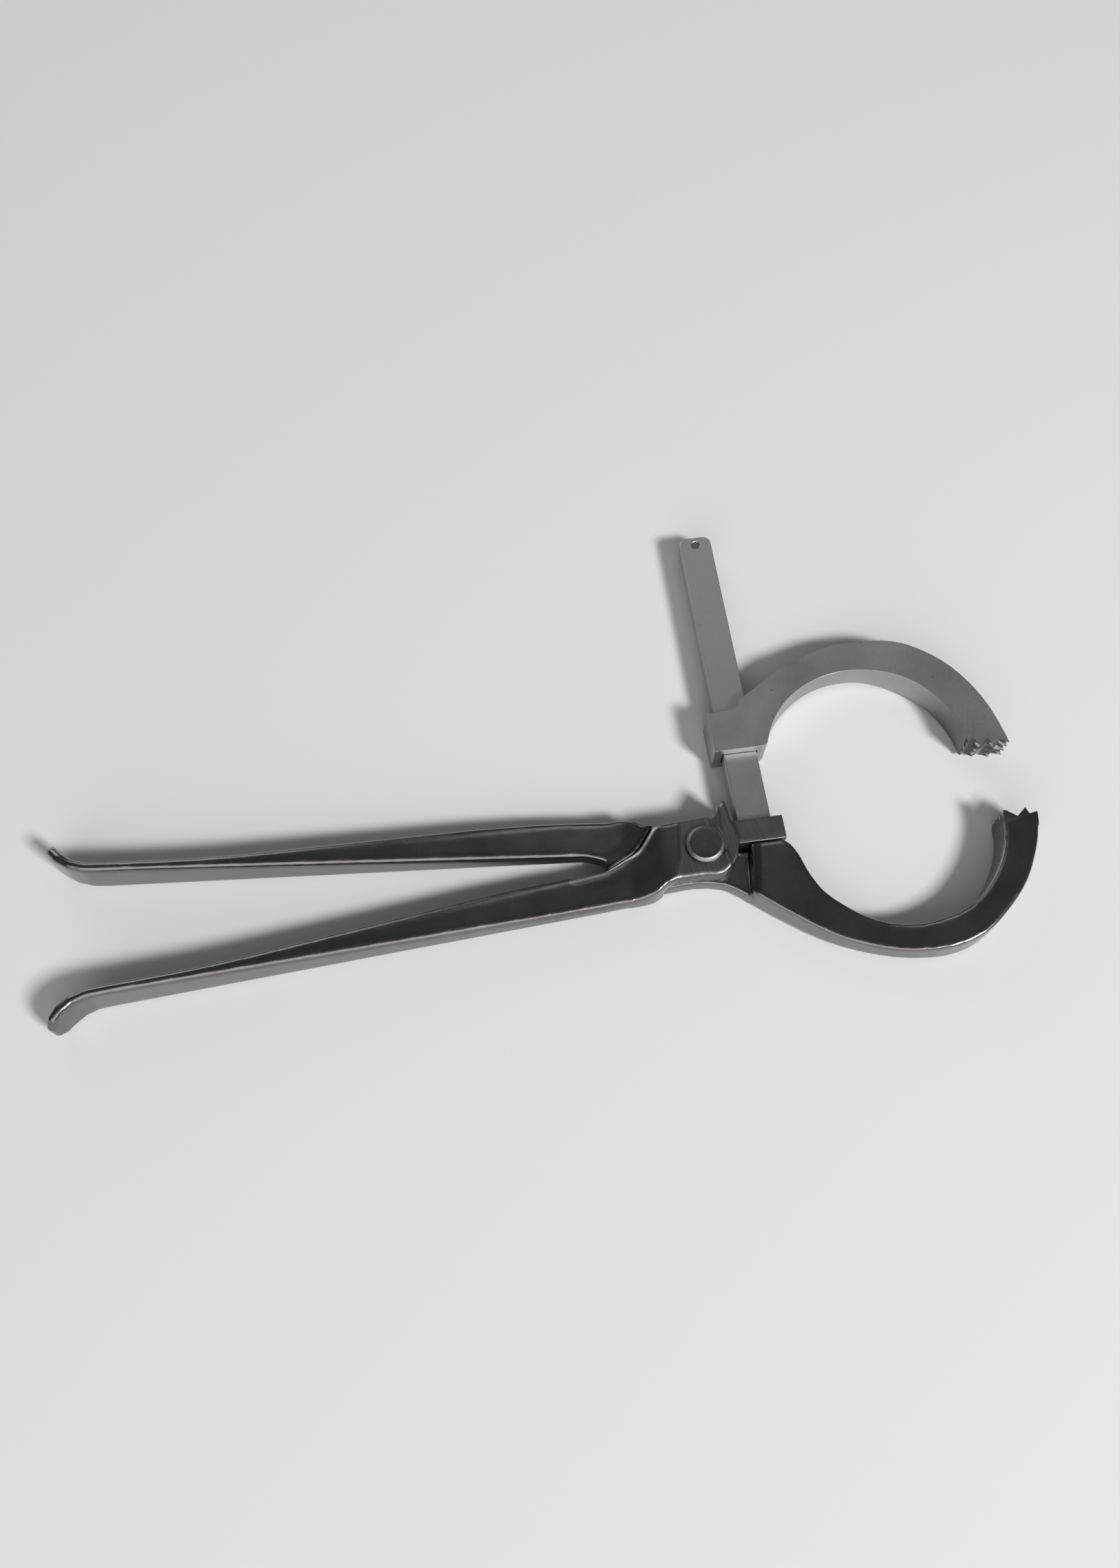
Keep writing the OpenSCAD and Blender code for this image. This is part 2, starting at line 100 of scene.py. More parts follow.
class ShaderNodes:
    """Adds and joins the nodes of one material."""

    def __init__(self, material: bpy.types.Material) -> None:
        """Empties the material's node tree.

        Args:
            material: The material whose nodes are made here.
        """
        material.use_nodes = True
        self.tree = material.node_tree
        self.tree.nodes.clear()

    def add(self, kind: str, inputs: dict | None = None, **settings: object) -> bpy.types.Node:
        """Adds one node.

        Args:
            kind: The node's type, without its ShaderNode prefix.
            inputs: A value, or an output socket to join, for each input by name or number.
            settings: The node's own properties.

        Returns:
            The new node.
        """
        node = self.tree.nodes.new("ShaderNode" + kind)
        for name, value in settings.items():
            setattr(node, name, value)
        for name, value in (inputs or {}).items():
            if isinstance(value, bpy.types.NodeSocket):
                self.tree.links.new(value, node.inputs[name])
            else:
                node.inputs[name].default_value = value
        return node

    def blend(self, amount: object, low: object, high: object) -> bpy.types.NodeSocket:
        """Mixes two colours.

        Args:
            amount: How much of the second colour shows, 0 to 1.
            low: The first colour.
            high: The second colour.

        Returns:
            The mixed colour's socket.
        """
        mixed = self.add("MixRGB", {"Fac": amount, "Color1": low, "Color2": high})
        return mixed.outputs[0]

    def mix(self, amount: object, low: object, high: object) -> bpy.types.NodeSocket:
        """Mixes two numbers, as blend mixes two colours."""
        return self.add("Mix", {"Factor": amount, "A": low, "B": high}).outputs[0]

    def span(self, value: object, ramp: Ramp) -> bpy.types.NodeSocket:
        """Maps a socket's value along a ramp."""
        sockets = {"Value": value, "From Min": ramp.low, "From Max": ramp.high, "To Min": ramp.start,
                   "To Max": ramp.end}
        return self.add("MapRange", sockets).outputs[0]

    def calculate(self, operation: str, first: object, second: object) -> bpy.types.NodeSocket:
        """Works out one number from two, by the Math node's operation."""
        return self.add("Math", {0: first, 1: second}, operation=operation).outputs[0]

    def speckled(self, place: object, speckle: Speckle) -> bpy.types.NodeSocket:
        """Adds a noise texture.

        Args:
            place: The socket that gives the place on the surface.
            speckle: The texture's settings.

        Returns:
            The noise's socket.
        """
        sockets = {"Vector": place, "Scale": speckle.scale, "Detail": speckle.detail,
                   "Roughness": speckle.roughness}
        return self.add("TexNoise", sockets).outputs[0]

    def painted(self, name: str) -> bpy.types.NodeSocket:
        """Reads an attribute that the mesh stores."""
        return self.add("Attribute", attribute_name=name).outputs["Fac"]


@dataclass(frozen=True)
class SteelFinish:
    """One bare steel surface, as worked and worn."""

    name: str
    grain: Grain
    dark: tuple[float, float, float]
    light: tuple[float, float, float]
    worn: tuple[float, float, float]
    roughness: float
    rough_spread: float
    worn_roughness: float
    ground: tuple[float, float, float] = (0.27, 0.265, 0.26)
    ground_roughness: float = 0.31
    # Painted shade: a near-black colour and its roughness, laid where a piece stores how much shade falls.
    painted_shade: tuple[float, float, float] = (0.03, 0.028, 0.027)
    painted_shade_roughness: float = 0.4
    streaks: float = 0.12
    brush_turn: float = 0.0
    pits: float = 0.8
    pit_depth: float = 0.06
    bump: float = 0.35

    def material(self) -> bpy.types.Material:
        """Builds the material."""
        return SteelShader(self).material


class SteelShader:
    """The nodes of one steel finish."""

    CLOUDS = Speckle(55.0, 4.0, 0.6)
    FINE = Speckle(900.0, 3.0, 0.7)
    BRUSH = Speckle(1.0, 3.0, 0.65)
    BRUSH_STRETCH = (60.0, 2600.0, 900.0)
    PIT_CELLS = 330.0
    PIT_EDGE = (0.05, 0.15)
    PIT_CHOICE = Ramp(0.8, 0.84)
    PIT_SHADE = 0.4
    RAGGED = Ramp(0.3, 0.65, 0.8, 1.1)
    WEAR = Ramp(0.35, 1.0)
    MOTTLE_CLOUDS = Ramp(0.3, 0.7, 0.1, 0.7)
    MOTTLE_FINE = Ramp(0.35, 0.65, -0.1, 0.2)
    STREAK_RANGE = (0.3, 0.7)
    GROUND_STREAK = Ramp(0.35, 0.65)
    GROUND_DARK = 0.82
    GROUND_LIGHT = 1.22
    CLOUD_HEIGHT = 0.5
    FINE_HEIGHT = 0.06
    BRUSH_HEIGHT = 0.05
    BUMP_DISTANCE = 0.5 * MM

    def __init__(self, finish: SteelFinish) -> None:
        """Makes the material.

        Args:
            finish: The surface that it shows.
        """
        self.finish = finish
        self.material = bpy.data.materials.new(finish.name)
        self.nodes = ShaderNodes(self.material)
        place = self.nodes.add("TexCoord").outputs["Object"]
        self.clouds = self.nodes.speckled(place, self.CLOUDS)
        self.fine = self.nodes.speckled(place, self.FINE)
        self.brush = self.brush_map(place)
        self.pits = self.pit_map(place)
        self.wear = self.wear_map()
        self.worked = self.worked_map()
        self.ground = self.nodes.painted("ground")
        # Painted shade that the pieces store in gaps, slots, teeth and walls turned from the light.
        self.painted_shade = self.nodes.painted("painted_shade")
        sockets = {"Base Color": self.colour(), "Metallic": 1.0, "Roughness": self.roughness(),
                   "Normal": self.relief()}
        steel = self.nodes.add("BsdfPrincipled", sockets)
        self.nodes.add("OutputMaterial", {"Surface": steel.outputs[0]})

    def brush_map(self, place: bpy.types.NodeSocket) -> bpy.types.NodeSocket:
        """Makes the lines that a wheel or a belt leaves.

        Args:
            place: The place on the surface.

        Returns:
            The lines' socket.
        """
        turned = self.nodes.add("Mapping", {"Vector": place, "Rotation": (0, 0, self.finish.brush_turn)})
        stretched = self.nodes.add("Mapping", {"Vector": turned.outputs[0], "Scale": self.BRUSH_STRETCH})
        return self.nodes.speckled(stretched.outputs[0], self.BRUSH)

    def pit_map(self, place: bpy.types.NodeSocket) -> bpy.types.NodeSocket:
        """Makes the few small pits.

        Args:
            place: The place on the surface.

        Returns:
            The pits' socket.
        """
        cells = self.nodes.add("TexVoronoi", {"Vector": place, "Scale": self.PIT_CELLS, "Randomness": 1.0})
        near = self.nodes.span(cells.outputs["Distance"], Ramp(*self.PIT_EDGE, self.finish.pits, 0.0))
        draw = self.nodes.add("SeparateColor", {0: cells.outputs["Color"]}).outputs[0]
        return self.nodes.calculate("MULTIPLY", near, self.nodes.span(draw, self.PIT_CHOICE))

    def wear_map(self) -> bpy.types.NodeSocket:
        """Makes the ragged wear along the edges, with the painted highlight that the bar lever stores along
        its shoulder.
        """
        ragged = self.nodes.calculate("MULTIPLY", self.nodes.painted("edge"),
                                      self.nodes.span(self.fine, self.RAGGED))
        return self.nodes.span(ragged, self.WEAR)

    def worked_map(self) -> bpy.types.NodeSocket:
        """Makes the mottling, and on a brushed surface the streaks.

        Returns:
            The socket that chooses between the dark and the light colour.
        """
        mottled = self.nodes.calculate("ADD", self.nodes.span(self.clouds, self.MOTTLE_CLOUDS),
                                       self.nodes.span(self.fine, self.MOTTLE_FINE))
        if self.finish.grain is not Grain.BRUSHED:
            return mottled
        share = self.finish.streaks
        streaks = self.nodes.span(self.brush, Ramp(*self.STREAK_RANGE, -share, share))
        return self.nodes.calculate("ADD", mottled, streaks)

    def colour(self) -> bpy.types.NodeSocket:
        """Makes the colour: bare steel, then ground faces, wear, painted shade and pits over it.

        Returns:
            The colour's socket.
        """
        finish = self.finish
        streak = self.nodes.span(self.brush, self.GROUND_STREAK)
        ground = self.nodes.blend(streak, self.shade(finish.ground, self.GROUND_DARK),
                                  self.shade(finish.ground, self.GROUND_LIGHT))
        base = self.nodes.blend(self.worked, self.shade(finish.dark), self.shade(finish.light))
        layers = ((self.ground, ground), (self.wear, self.shade(finish.worn)),
                  (self.painted_shade, self.shade(finish.painted_shade)),
                  (self.pits, self.shade(finish.dark, self.PIT_SHADE)))
        for amount, layer in layers:
            base = self.nodes.blend(amount, base, layer)
        return base

    def roughness(self) -> bpy.types.NodeSocket:
        """Makes the roughness, in the same order as the colour.

        Returns:
            The roughness's socket.
        """
        finish = self.finish
        low, high = finish.roughness - finish.rough_spread, finish.roughness + finish.rough_spread
        rough = self.nodes.span(self.worked, Ramp(0.0, 1.0, low, high))
        layers = ((self.ground, finish.ground_roughness), (self.wear, finish.worn_roughness),
                  (self.painted_shade, finish.painted_shade_roughness))
        for amount, layer in layers:
            rough = self.nodes.mix(amount, rough, layer)
        return rough

    def relief(self) -> bpy.types.NodeSocket:
        """Makes the fine relief.

        Returns:
            The bumped normal's socket.
        """
        height = self.nodes.calculate("MULTIPLY", self.clouds, self.CLOUD_HEIGHT)
        height = self.nodes.calculate("ADD", height,
                                      self.nodes.calculate("MULTIPLY", self.fine, self.FINE_HEIGHT))
        if self.finish.grain is Grain.BRUSHED:
            height = self.nodes.calculate("ADD", height,
                                          self.nodes.calculate("MULTIPLY", self.brush, self.BRUSH_HEIGHT))
        height = self.nodes.calculate("SUBTRACT", height,
                                      self.nodes.calculate("MULTIPLY", self.pits, self.finish.pit_depth))
        sockets = {"Height": height, "Strength": self.finish.bump, "Distance": self.BUMP_DISTANCE}
        return self.nodes.add("Bump", sockets).outputs[0]

    @staticmethod
    def shade(colour: tuple, share: float = 1.0) -> tuple:
        """Gives a colour with its alpha, darker or lighter by a share."""
        return (*[share * part for part in colour], 1)


# Its worn colour also paints the highlight along the bar lever's shoulder.
FORGED = SteelFinish(
    name="forged_steel", grain=Grain.FORGED, dark=(0.185, 0.178, 0.174), light=(0.255, 0.247, 0.243),
    worn=(0.42, 0.42, 0.43), roughness=0.25, rough_spread=0.03, worn_roughness=0.24,
    ground=(0.175, 0.171, 0.167), ground_roughness=0.42, brush_turn=math.radians(72), bump=0.08, pits=0.0)
# Its painted shade darkens the sliding jaw's teeth and inner wall.
GROUND = SteelFinish(
    name="ground_steel", grain=Grain.BRUSHED, dark=(0.36, 0.358, 0.356), light=(0.47, 0.47, 0.47),
    worn=(0.6, 0.6, 0.61), roughness=0.46, rough_spread=0.04, worn_roughness=0.3,
    brush_turn=math.radians(-80), bump=0.06, painted_shade_roughness=0.6)
BAR = replace(
    GROUND, name="bar_steel", dark=(0.4, 0.4, 0.4), light=(0.49, 0.49, 0.49), streaks=0.1, roughness=0.4,
    bump=0.03, brush_turn=math.radians(80.3))
RIVET = SteelFinish(
    name="rivet_steel", grain=Grain.PEENED, dark=(0.115, 0.11, 0.107), light=(0.19, 0.183, 0.18),
    worn=(0.3, 0.3, 0.3), roughness=0.34, rough_spread=0.05, worn_roughness=0.5, pits=0.0)


class Workshop:
    """Mesh steps that several pieces share."""

    @staticmethod
    def copy_of(node: str) -> bmesh.types.BMesh:
        """Copies a CAD node and joins its loose triangles into whole faces.

        Args:
            node: The CAD node's name.

        Returns:
            The joined copy.
        """
        bm = bmesh.new()
        bm.from_mesh(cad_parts[node].data)
        bmesh.ops.remove_doubles(bm, verts=bm.verts, dist=SAME_POINT)
        bmesh.ops.dissolve_limit(bm, angle_limit=SAME_PLANE, verts=bm.verts, edges=bm.edges)
        return bm

    @staticmethod
    def sharp_edges(bm: bmesh.types.BMesh, degrees: float) -> list:
        """Lists the edges whose faces meet at more than an angle.

        Args:
            bm: The mesh.
            degrees: The least angle.

        Returns:
            The edges.
        """
        least = math.radians(degrees)
        return [e for e in bm.edges if e.is_manifold and e.calc_face_angle(0.0) > least]

    @staticmethod
    def rounded(bm: bmesh.types.BMesh, edges: list, offset: float, segments: int,
                clamped: bool = True) -> list:
        """Rounds edges off.

        Args:
            bm: The mesh.
            edges: The edges.
            offset: How far from each edge the rounding starts, in metres.
            segments: How many faces go round.
            clamped: Whether short edges limit the rounding.

        Returns:
            The new faces.
        """
        made = bmesh.ops.bevel(bm, geom=edges, offset=offset, offset_type="OFFSET", segments=segments,
                               profile=0.5, affect="EDGES", material=-1, clamp_overlap=clamped)
        return made["faces"]

    @staticmethod
    def to_object(bm: bmesh.types.BMesh, name: str) -> bpy.types.Object:
        """Turns a mesh into an object that stands at the origin.

        Args:
            bm: The mesh, which is freed.
            name: The object's name.

        Returns:
            The object.
        """
        mesh = bpy.data.meshes.new(name)
        bm.to_mesh(mesh)
        bm.free()
        made = bpy.data.objects.new(name, mesh)
        bpy.context.scene.collection.objects.link(made)
        return made

    @staticmethod
    def smooth_shaded(made: bpy.types.Object, crease: float) -> None:
        """Shades an object smoothly, except at its creases.

        Args:
            made: The object.
            crease: The angle in degrees from which an edge stays sharp.
        """
        made.data.shade_smooth()
        made.data.set_sharp_from_angle(angle=math.radians(crease))

    @staticmethod
    def worked_out(made: bpy.types.Object) -> bpy.types.Mesh:
        """Works out an object's modifiers.

        Args:
            made: The object.

        Returns:
            The mesh that they make, with all that the object's own mesh stores.
        """
        graph = bpy.context.evaluated_depsgraph_get()
        turned = made.evaluated_get(graph)
        return bpy.data.meshes.new_from_object(turned, preserve_all_data_layers=True, depsgraph=graph)

    @staticmethod
    def taken_apart(works: tuple) -> bmesh.types.BMesh:
        """Takes the first object's worked-out mesh and removes the objects.

        Args:
            works: The objects.

        Returns:
            The mesh.
        """
        mesh = Workshop.worked_out(works[0])
        taken = bmesh.new()
        taken.from_mesh(mesh)
        for work in works:
            bpy.data.objects.remove(work)
        bpy.data.meshes.remove(mesh)
        return taken

    @staticmethod
    def remeshed(bm: bmesh.types.BMesh, voxel: float) -> bmesh.types.BMesh:
        """Rebuilds a closed mesh from small even faces.

        Args:
            bm: The mesh, which is freed.
            voxel: The faces' size in metres.

        Returns:
            The even mesh.
        """
        work = Workshop.to_object(bm, "skin_work")
        step = work.modifiers.new("even", "REMESH")
        step.mode = "VOXEL"
        step.voxel_size = voxel
        return Workshop.taken_apart((work,))

    @staticmethod
    def united(bm: bmesh.types.BMesh, other: bmesh.types.BMesh) -> bmesh.types.BMesh:
        """Joins one closed mesh with another.

        Args:
            bm: The first mesh, which is freed.
            other: The second mesh, which is freed.

        Returns:
            The joined mesh.
        """
        first = Workshop.to_object(bm, "first_work")
        second = Workshop.to_object(other, "second_work")
        step = first.modifiers.new("join", "BOOLEAN")
        step.operation = "UNION"
        step.solver = "MANIFOLD"
        step.object = second
        return Workshop.taken_apart((first, second))

    @staticmethod
    def prism(outline: tuple, low: float, high: float, edge: float) -> bmesh.types.BMesh:
        """Makes an upright prism with rounded edges.

        Args:
            outline: Its corners seen from above, in millimetres.
            low: The height of its foot in millimetres.
            high: The height of its top in millimetres.
            edge: How far its edges are rounded off, in metres.

        Returns:
            The prism.
        """
        bm = bmesh.new()
        foot = bm.faces.new([bm.verts.new(Vector((x, y, low)) * MM) for x, y in outline])
        raised = bmesh.ops.extrude_face_region(bm, geom=[foot], use_keep_orig=True)
        top = [v for v in raised["geom"] if isinstance(v, bmesh.types.BMVert)]
        bmesh.ops.translate(bm, verts=top, vec=Vector((0, 0, high - low)) * MM)
        bmesh.ops.recalc_face_normals(bm, faces=bm.faces)
        Workshop.rounded(bm, bm.edges[:], edge, SKIN_SEGMENTS)
        return bm

    @staticmethod
    def append(bm: bmesh.types.BMesh, other: bmesh.types.BMesh) -> None:
        """Adds a second mesh to the first as it stands.

        Args:
            bm: The mesh that grows.
            other: The mesh to add, which is freed.
        """
        mesh = bpy.data.meshes.new("other_work")
        other.to_mesh(mesh)
        other.free()
        bm.from_mesh(mesh)
        bpy.data.meshes.remove(mesh)

    @staticmethod
    def half(bm: bmesh.types.BMesh, region: list, height: float, keep_above: bool) -> None:
        """Cuts part of a closed mesh at a plane across Y and leaves the cut open.

        Args:
            bm: The mesh.
            region: The faces that may be cut.
            height: The plane's Y place in metres.
            keep_above: Whether the part above the plane is kept.
        """
        parts = dict.fromkeys(region)
        for face in region:
            parts.update(dict.fromkeys((*face.verts, *face.edges)))
        bmesh.ops.bisect_plane(bm, geom=list(parts), dist=ON_CUT, plane_co=Vector((0, height, 0)),
                               plane_no=Vector((0, 1, 0)), clear_outer=not keep_above, clear_inner=keep_above)

    @staticmethod
    def even_shading(made: bpy.types.Object) -> None:
        """Turns the shading of rounded edges so that the flat faces beside them stay even.

        Args:
            made: The object, whose mesh is replaced.
        """
        made.modifiers.new("even_faces", "WEIGHTED_NORMAL").keep_sharp = True
        even = Workshop.worked_out(made)
        made.modifiers.clear()
        worked = made.data
        made.data = even
        bpy.data.meshes.remove(worked)
        even.name = made.name

    @staticmethod
    def read(items: object, key: str, width: int, kind: type = float) -> np.ndarray:
        """Reads one property of each item of a mesh.

        Args:
            items: The mesh's points, edges or stored values.
            key: The property's name.
            width: How many numbers it has.
            kind: The numbers' type.

        Returns:
            One row for each item.
        """
        values = np.empty(len(items) * width, dtype=kind)
        items.foreach_get(key, values)
        return values.reshape(-1, width)

    @staticmethod
    def store(mesh: bpy.types.Mesh, name: str, values: np.ndarray) -> None:
        """Stores one number for each point of a mesh, for its material."""
        layer = mesh.attributes.new(name, "FLOAT", "POINT")
        layer.data.foreach_set("value", values)


@dataclass(frozen=True)
class EdgeWear:
    """Finds the points of a mesh that stand out from their surroundings and so wear bright.

    Rings is how many rings of neighbours count, and full is the height in metres that counts as wholly worn.
    Points whose edges are longer than coarse belong to flat filed faces and get the share flat.
    """

    rings: int = 6
    full: float = 0.32 * MM
    coarse: float = 0.7 * MM
    flat: float = 0.2
    pull: float = 0.5

    def of(self, mesh: bpy.types.Mesh) -> np.ndarray:
        """Measures the wear of each point.

        Args:
            mesh: The mesh.

        Returns:
            The wear, from 0 to 1.
        """
        points = Workshop.read(mesh.vertices, "co", 3)
        normals = Workshop.read(mesh.vertices, "normal", 3)
        ends = Workshop.read(mesh.edges, "vertices", 2, np.int64)
        near = np.maximum(np.bincount(ends.ravel(), minlength=len(points)), 1)
        lengths = np.linalg.norm(points[ends[:, 0]] - points[ends[:, 1]], axis=1)
        reach = self.totals(ends, lengths, lengths, len(points)) / near
        even = points.copy()
        for _ in range(self.rings):
            total = np.stack([self.totals(ends, side[ends[:, 1]], side[ends[:, 0]], len(points))
                              for side in even.T], axis=1)
            even = (1.0 - self.pull) * even + self.pull * total / near[:, None]
        proud = np.einsum("ij,ij->i", points - even, normals) / self.full
        return np.where(reach > self.coarse, self.flat, np.clip(proud, 0.0, 1.0))

    @staticmethod
    def totals(ends: np.ndarray, first: np.ndarray, second: np.ndarray, count: int) -> np.ndarray:
        """Adds up, for each point, what its edges give it.

        Args:
            ends: The two points of each edge.
            first: What each edge gives its first point.
            second: What each edge gives its second point.
            count: How many points there are.

        Returns:
            Each point's total.
        """
        return np.bincount(ends[:, 0], first, count) + np.bincount(ends[:, 1], second, count)


@dataclass
class Piece:
    """One visible piece that stands for one CAD node."""

    node: str
    body: Body
    slot: Slot
    finish: SteelFinish

    def build(self) -> bpy.types.Object:
        """Makes the piece, dresses it and puts it on its body.

        Returns:
            The finished object.
        """
        made = self.shape()
        made.data.materials.clear()
        made.data.materials.append(self.finish.material())
        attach(made, self.body.value)
        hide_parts(self.node)
        LOG.info("%s: %d faces", made.name, len(made.data.polygons))
        return made

    def shape(self) -> bpy.types.Object:
        """Makes the piece's mesh. Each kind of piece does this its own way."""
        raise NotImplementedError


def eased(value: np.ndarray, low: float, high: float) -> np.ndarray:
    """Goes smoothly from 0 at low to 1 at high."""
    share = np.clip((value - low) / (high - low), 0.0, 1.0)
    return share * share * (3.0 - 2.0 * share)


def path_offset(points: np.ndarray, path: tuple) -> np.ndarray:
    """Measures how far points seen from above lie from a path.

    Args:
        points: The points in millimetres.
        path: The path's corners in millimetres.

    Returns:
        The distance of each point, positive to the path's left.
    """
    best = np.full(len(points), FAR_AWAY)
    signed = np.zeros(len(points))
    for start, end in zip(path[:-1], path[1:]):
        along = np.subtract(end, start)
        length = np.hypot(*along)
        along = along / length
        away = points[:, :2] - start
        run = np.clip(away @ along, 0.0, length)
        gap = np.hypot(*(away - run[:, None] * along).T)
        side = np.sign(along[0] * away[:, 1] - along[1] * away[:, 0])
        nearer = gap < best
        best = np.where(nearer, gap, best)
        signed = np.where(nearer, gap * side, signed)
    return signed


@dataclass(frozen=True)
class Zone:
    """A box, in millimetres, in which a lever's skin is smoothed further."""

    x: tuple[float, float]
    passes: int
    y: tuple[float, float] = (-200.0, 200.0)
    z: tuple[float, float] = (-1.0, 30.0)

    def holds(self, points: np.ndarray) -> np.ndarray:
        """Says which points lie inside the box."""
        low, high = np.transpose((self.x, self.y, self.z))
        return np.all((points > low) & (points < high), axis=1)


@dataclass(frozen=True)
class Web:
    """An upright filling that is added to a lever before its skin is made, in millimetres."""

    outline: tuple
    low: float
    high: float


# The line of the bar lever's shoulder, seen from above, in millimetres. The jaw lever's top meets it.
SHOULDER = ((-15.5, 13), (-17.8, 10), (-19.5, 7), (-22, 2.4), (-24.8, -1.8), (-27.8, -4.8), (-31, -7),
            (-37.5, -11.4), (-48, -15))


@dataclass
class ForgedLever(Piece):
    """A forged lever: an even skin over the lever's solid, with softened edges and hammered faces.

    Lengths are in millimetres unless they are given times MM.
    """

    voxel: float = 0.5 * MM
    round_off: float = 0.6 * MM
    rim_angle: float = 32.0
    crease_angle: float = 38.0
    bevel_from: float = -12.0
    passes: int = 3
    zones: tuple = ()
    webs: tuple = ()
    shoulder_passes: int = 0
    shoulder_reach: float = 2.6
    shoulder_from: float = 8.0
    top: tuple = (9.0, 14.0)
    wear: EdgeWear = EdgeWear()

    def shape(self) -> bpy.types.Object:
        """Makes the lever's skin.

        Returns:
            The lever.
        """
        bm = Workshop.copy_of(self.node)
        rims = [e for e in Workshop.sharp_edges(bm, self.rim_angle)
                if all(self.takes_bevel(v.co / MM) for v in e.verts)]
        Workshop.rounded(bm, rims, self.round_off, SKIN_SEGMENTS, clamped=False)
        for web in self.webs:
            Workshop.append(bm, Workshop.prism(web.outline, web.low, web.high, self.round_off))
        bm = Workshop.remeshed(bm, self.voxel)
        self.smooth(bm)
        self.sculpt(bm)
        bm = self.finished(bm)
        made = Workshop.to_object(bm, self.node + "_visual")
        self.paint(made.data)
        Workshop.smooth_shaded(made, self.crease_angle)
        return made

    def takes_bevel(self, place: Vector) -> bool:
        """Says whether an edge that ends at a place is rounded before the skin is made."""
        return place.x > self.bevel_from

    def smooth(self, bm: bmesh.types.BMesh) -> None:
        """Smooths the whole skin, then each zone, then the shoulder's edge.

        Args:
            bm: The skin.
        """
        self.soften(bm, bm.verts[:], self.passes)
        points = np.array([v.co for v in bm.verts]) / MM
        at_shoulder = ((np.abs(path_offset(points, SHOULDER)) < self.shoulder_reach)
                       & (points[:, 2] > self.shoulder_from))
        parts = [(zone.holds(points), zone.passes) for zone in self.zones]
        for taken, times in parts + [(at_shoulder, self.shoulder_passes)]:
            self.soften(bm, [v for v, chosen in zip(bm.verts, taken) if chosen], times)

    @staticmethod
    def soften(bm: bmesh.types.BMesh, verts: list, times: int) -> None:
        """Smooths some of a mesh's points.

        Args:
            bm: The mesh.
            verts: The points.
            times: How many times.
        """
        for _ in range(times):
            bmesh.ops.smooth_vert(bm, verts=verts, factor=SOFTENING, use_axis_x=True, use_axis_y=True,
                                  use_axis_z=True)

    def sculpt(self, bm: bmesh.types.BMesh) -> None:
        """Raises or lowers the top face.

        Args:
            bm: The mesh.
        """
        points = np.array([v.co for v in bm.verts]) / MM
        lift = self.lift(points) * eased(points[:, 2], *self.top)
        for vert, rise in zip(bm.verts, lift):
            vert.co.z += float(rise) * MM

    def lift(self, points: np.ndarray) -> np.ndarray:
        """Gives the height that each point of the top face gains, in millimetres."""
        return np.zeros(len(points))

    def finished(self, bm: bmesh.types.BMesh) -> bmesh.types.BMesh:
        """Adds the sharp details that the skin can't hold."""
        return bm

    def ground_share(self, points: np.ndarray) -> np.ndarray:
        """Gives how far each point was ground bright, from 0 to 1."""
        return np.zeros(len(points))

    def painted_shade_share(self, points: np.ndarray) -> np.ndarray:
        """Gives how much painted shade each point gets, from 0 to 1."""
        return np.zeros(len(points))

    def painted_highlight_share(self, points: np.ndarray) -> np.ndarray:
        """Gives each point's painted highlight beyond the wear that its edges show, from 0 to 1."""
        return np.zeros(len(points))

    def paint(self, mesh: bpy.types.Mesh) -> None:
        """Stores where the lever is worn, with its painted highlights, where it was ground bright and where
        it gets painted shade.

        Args:
            mesh: The lever's mesh.
        """
        points = Workshop.read(mesh.vertices, "co", 3) / MM
        Workshop.store(mesh, "edge", np.maximum(self.wear.of(mesh), self.painted_highlight_share(points)))
        Workshop.store(mesh, "ground", self.ground_share(points))
        Workshop.store(mesh, "painted_shade", self.painted_shade_share(points))


